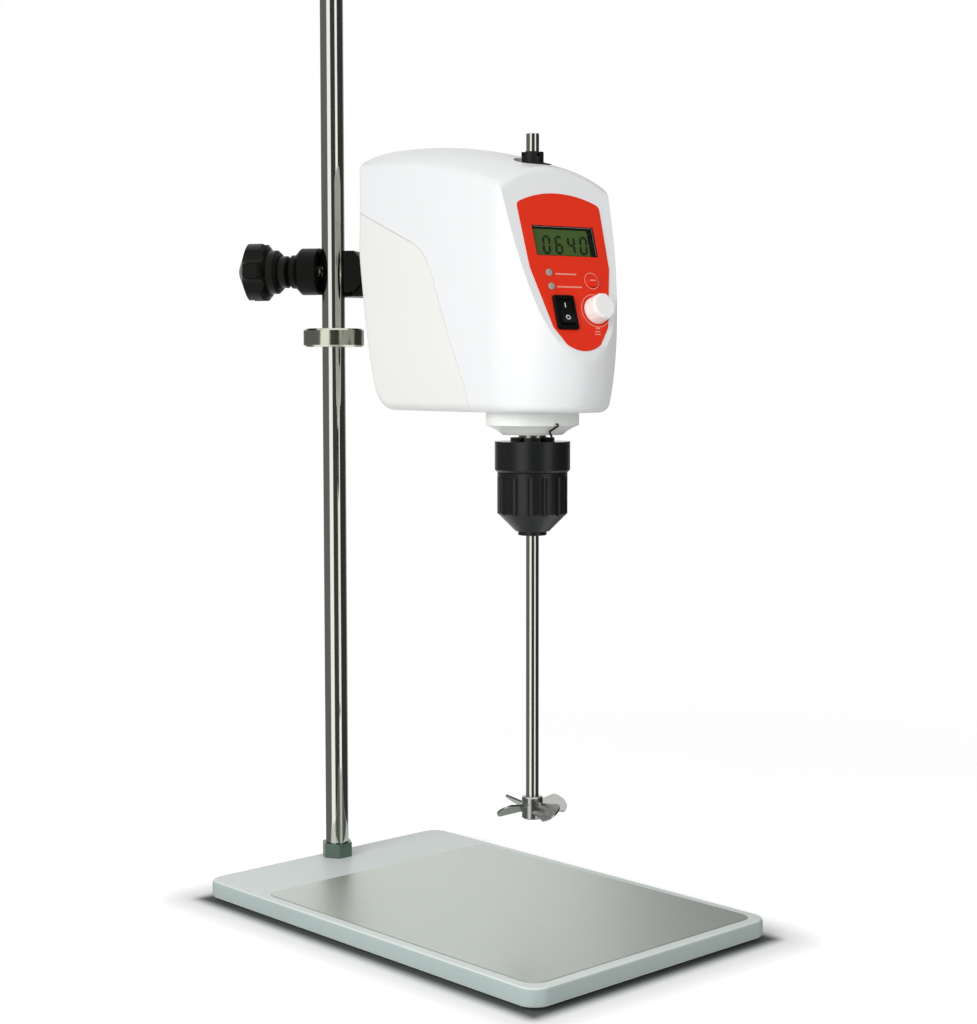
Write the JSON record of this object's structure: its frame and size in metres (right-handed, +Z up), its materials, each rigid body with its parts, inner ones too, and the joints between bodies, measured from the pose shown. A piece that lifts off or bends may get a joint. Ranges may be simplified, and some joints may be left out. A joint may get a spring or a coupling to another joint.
{
  "type": "overhead stirrer",
  "caption": "Overhead laboratory stirrer: white motor head with display panel, keyless chuck and propeller shaft, clamped to a rod on a flat plate stand.",
  "frame": {"origin": "centre of the overall bounding box at the level the feet stand on", "axes": "+Z up along the rod, the plate square to X and Y, -Y towards the front, where the panel looks"},
  "size_m": [0.206, 0.3709, 0.7996],
  "materials": {
    "plate_paint": "satin enamel",
    "inlay_steel": "brushed",
    "foot_rubber": "matte",
    "bright_steel": "polished",
    "satin_steel": "turned",
    "black_metal": "satin",
    "black_grip": "satin",
    "housing_white": "satin",
    "cover_white": "satin",
    "frame_alloy": "cast",
    "bearing_steel": "ground",
    "seal_rubber": "matte",
    "motor_shell": "satin",
    "winding": "enamelled wire",
    "pulley_alloy": "turned",
    "belt_rubber": "matte",
    "board_green": "satin",
    "panel_red": "satin film",
    "display_green": "matte",
    "window_clear": "polished",
    "lamp_clear": "frosted",
    "switch_black": "satin",
    "dial_white": "satin",
    "gland_black": "matte",
    "chuck_black": "satin"
  },
  "bodies": {
    "stand": {"base_plate": "plate_paint", "steel_inlay": "inlay_steel", "rubber_feet": "foot_rubber", "foot_screws": "satin_steel", "rod_nut": "satin_steel"},
    "column": {"stand_rod": "bright_steel"},
    "stop_ring": {"stop_ring": "satin_steel", "stop_ring_screw": "satin_steel"},
    "clamp": {"clamp_body": "black_metal"},
    "rod_knob": {"rod_star_knob": "black_grip", "rod_clamp_screw": "satin_steel"},
    "arm_knob": {"arm_star_knob": "black_grip", "arm_clamp_screw": "satin_steel"},
    "arm": {"arm_rod": "bright_steel"},
    "head": {"arm_flange": "black_metal", "front_shell": "housing_white", "rear_cover": "cover_white", "nose_cone": "housing_white", "wire_hook": "black_metal", "chassis": "frame_alloy", "upper_bearing": "bearing_steel", "lower_bearing": "bearing_steel", "top_seal": "seal_rubber", "motor_case": "motor_shell", "motor_stator": "winding", "motor_cap": "motor_shell", "belt": "belt_rubber", "main_board": "board_green", "panel_overlay": "panel_red", "display_module": "display_green", "display_window": "window_clear", "leds": "lamp_clear", "speed_pot": "motor_shell", "switch_body": "switch_black", "cord_gland": "gland_black", "cover_screws": "satin_steel"},
    "spindle": {"spindle": "satin_steel", "spindle_cap": "gland_black", "spindle_pulley": "pulley_alloy", "chuck_body": "chuck_black", "chuck_washer": "satin_steel", "chuck_rear_sleeve": "chuck_black"},
    "front_sleeve": {"chuck_front_sleeve": "chuck_black"},
    "jaw_1": {"jaw_1": "satin_steel"},
    "jaw_2": {"jaw_2": "satin_steel"},
    "jaw_3": {"jaw_3": "satin_steel"},
    "shaft": {"stirring_shaft": "bright_steel", "propeller": "satin_steel", "propeller_screw": "satin_steel"},
    "rotor": {"motor_rotor": "satin_steel", "motor_pulley": "pulley_alloy"},
    "speed_knob": {"speed_knob": "dial_white", "pot_shaft": "satin_steel"},
    "rocker": {"rocker": "switch_black"},
    "key": {"key_button": "panel_red"}
  },
  "joints": [
    {"name": "rod_swivel", "type": "hinge", "parent": "stand", "child": "column", "pos_m": [0, 0.11846, 0.2], "axis": [0, 0, 1], "range_deg": [-180, 180]},
    {"name": "ring_height", "type": "slide", "parent": "column", "child": "stop_ring", "axis": [0, 0, 1], "range_m": [-0.34, 0.022]},
    {"name": "clamp_height", "type": "slide", "parent": "column", "child": "clamp", "axis": [0, 0, 1], "range_m": [-0.022, 0.35]},
    {"name": "rod_knob_turn", "type": "hinge", "parent": "clamp", "child": "rod_knob", "pos_m": [0, 0.11846, 0.422], "axis": [-0.5736, 0.8192, 0], "range_deg": [0, 360]},
    {"name": "arm_knob_turn", "type": "hinge", "parent": "clamp", "child": "arm_knob", "pos_m": [0.02954, 0.11325, 0.422], "axis": [0.9848, -0.1736, 0], "range_deg": [0, 360]},
    {"name": "arm_reach", "type": "slide", "parent": "clamp", "child": "arm", "axis": [0.1736, 0.9848, 0], "range_m": [-0.05, 0.022]},
    {"name": "head_roll", "type": "hinge", "parent": "arm", "child": "head", "pos_m": [-0.00519, -0.08371, 0.422], "axis": [0.1736, 0.9848, 0], "range_deg": [-90, 90]},
    {"name": "spindle_spin", "type": "hinge", "parent": "head", "child": "spindle", "pos_m": [-0.00519, -0.08371, 0.422], "axis": [0, 0, 1], "continuous": true},
    {"name": "rotor_spin", "type": "hinge", "parent": "head", "child": "rotor", "pos_m": [0.00836, -0.0069, 0.422], "axis": [0, 0, 1], "continuous": true},
    {"name": "sleeve_turn", "type": "hinge", "parent": "spindle", "child": "front_sleeve", "pos_m": [-0.00519, -0.08371, 0.422], "axis": [0, 0, -1], "range_deg": [0, 720]},
    {"name": "jaw_1_slide", "type": "slide", "parent": "spindle", "child": "jaw_1", "axis": [0.2382, 0.042, 0.9703], "range_m": [0, 0.0036]},
    {"name": "jaw_2_slide", "type": "slide", "parent": "spindle", "child": "jaw_2", "axis": [-0.1555, 0.1853, 0.9703], "range_m": [0, 0.0036]},
    {"name": "jaw_3_slide", "type": "slide", "parent": "spindle", "child": "jaw_3", "axis": [-0.0827, -0.2273, 0.9703], "range_m": [0, 0.0036]},
    {"name": "shaft_height", "type": "slide", "parent": "spindle", "child": "shaft", "axis": [0, 0, 1], "range_m": [-0.055, 0.14]},
    {"name": "speed_turn", "type": "hinge", "parent": "head", "child": "speed_knob", "pos_m": [-0.0008, -0.13257, 0.38815], "axis": [-0.1651, -0.9366, 0.309], "range_deg": [-150, 150]},
    {"name": "rocker_tilt", "type": "hinge", "parent": "head", "child": "rocker", "pos_m": [-0.02278, -0.12849, 0.38651], "axis": [0.9848, -0.1736, 0], "range_deg": [0, 12]},
    {"name": "key_press", "type": "slide", "parent": "head", "child": "key", "axis": [0.1651, 0.9366, -0.309], "range_m": [0, 0.0008], "stiffness_N_per_m": 500, "springref_m": -0.0005}
  ],
  "couplings": [
    {"joint": "rotor_spin", "follows": "spindle_spin", "ratio": 3.1111},
    {"joint": "jaw_1_slide", "follows": "sleeve_turn", "m_per_rad": 0.00028647},
    {"joint": "jaw_2_slide", "follows": "sleeve_turn", "m_per_rad": 0.00028647},
    {"joint": "jaw_3_slide", "follows": "sleeve_turn", "m_per_rad": 0.00028647}
  ]
}
